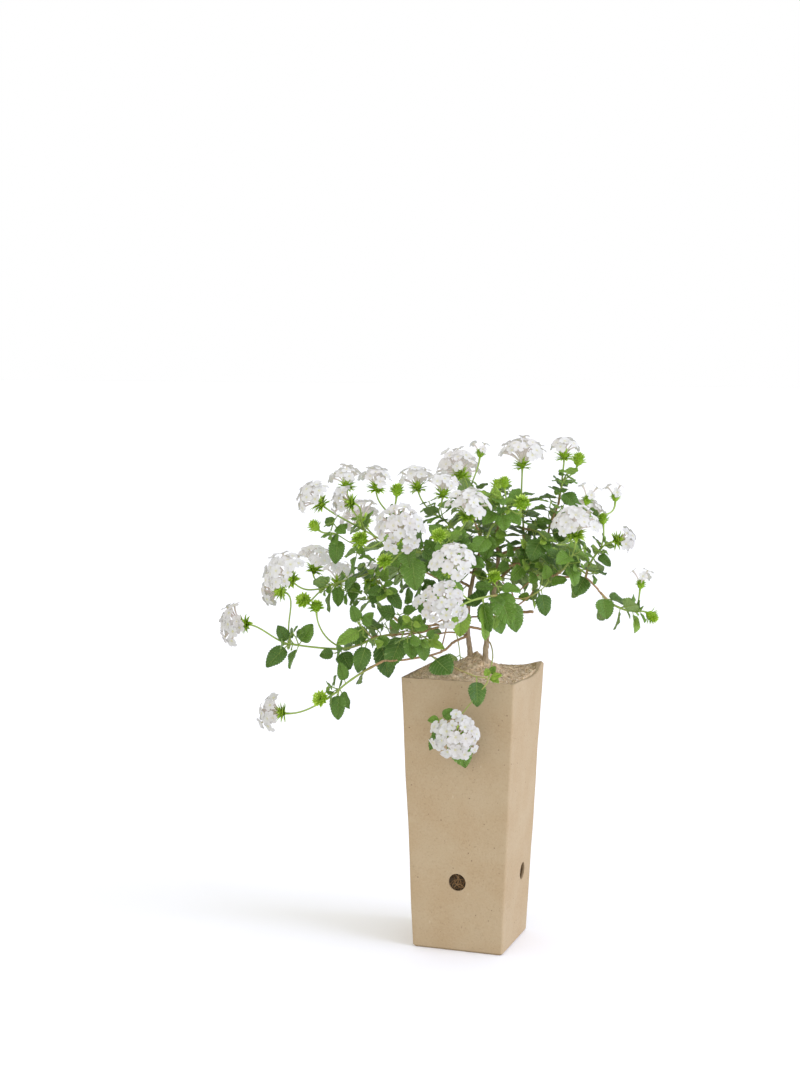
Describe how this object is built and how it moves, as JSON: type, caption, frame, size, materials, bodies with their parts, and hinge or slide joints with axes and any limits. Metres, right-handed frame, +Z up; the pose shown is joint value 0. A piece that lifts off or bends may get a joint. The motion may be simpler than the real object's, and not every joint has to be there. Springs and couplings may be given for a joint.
{
  "type": "potted trailing lantana",
  "caption": "Bushy trailing flowering shrub with white flower heads and toothed green leaves, growing in a tall square tapered pot of pressed fibre.",
  "frame": {"origin": "centre of the pot's base, on the surface it stands on", "axes": "+Z up along the pot; -Y out of the pot's front face, over which one stem hangs; +X out of its right face"},
  "size_m": [0.3247, 0.281, 0.4065],
  "materials": {
    "card": "matte",
    "compost": "matte",
    "bark": "matte",
    "foliage": "satin",
    "petals": "matte"
  },
  "bodies": {
    "root": {"flower_head_back": "petals", "flower_head_back_left": "petals", "flower_head_back_right": "petals", "flower_head_crown_left": "petals", "flower_head_crown_middle_1": "petals", "flower_head_crown_middle_2": "petals", "flower_head_crown_top_1": "petals", "flower_head_crown_top_2": "petals", "flower_head_far_left_1": "petals", "flower_head_far_left_2": "petals", "flower_head_far_right": "petals", "flower_head_front_left": "petals", "flower_head_front_low_1": "petals", "flower_head_front_low_2": "petals", "flower_head_front_middle": "petals", "flower_head_hanging_front": "petals", "flower_head_left_behind": "petals", "flower_head_left_middle_1": "petals", "flower_head_left_middle_2": "petals", "flower_head_left_middle_3": "petals", "flower_head_left_upper_1": "petals", "flower_head_left_upper_2": "petals", "flower_head_left_upper_3": "petals", "flower_head_low_left": "petals", "flower_head_right_crown": "petals", "flower_head_right_middle": "petals", "flower_head_right_outer": "petals", "flower_head_right_outer_crown_1": "petals", "flower_head_right_outer_crown_2": "petals", "flower_head_right_upper": "petals", "leafy_spray_back": "foliage", "leafy_spray_back_left": "foliage", "leafy_spray_back_low": "foliage", "leafy_spray_back_right": "foliage", "leafy_spray_centre": "foliage", "leafy_spray_crown_left": "foliage", "leafy_spray_crown_middle": "foliage", "leafy_spray_crown_top": "foliage", "leafy_spray_far_left": "foliage", "leafy_spray_far_right": "foliage", "leafy_spray_front_left": "foliage", "leafy_spray_front_low": "foliage", "leafy_spray_front_middle": "foliage", "leafy_spray_front_right": "foliage", "leafy_spray_hanging_front": "foliage", "leafy_spray_left_behind": "foliage", "leafy_spray_left_low_cluster": "foliage", "leafy_spray_left_middle": "foliage", "leafy_spray_left_upper": "foliage", "leafy_spray_low_left": "foliage", "leafy_spray_right_crown": "foliage", "leafy_spray_right_middle": "foliage", "leafy_spray_right_outer": "foliage", "leafy_spray_right_outer_crown": "foliage", "leafy_spray_right_upper": "foliage", "pot": "card", "root_ball": "compost", "woody_stem_left": "bark", "woody_stem_right": "bark"}
  },
  "joints": []
}
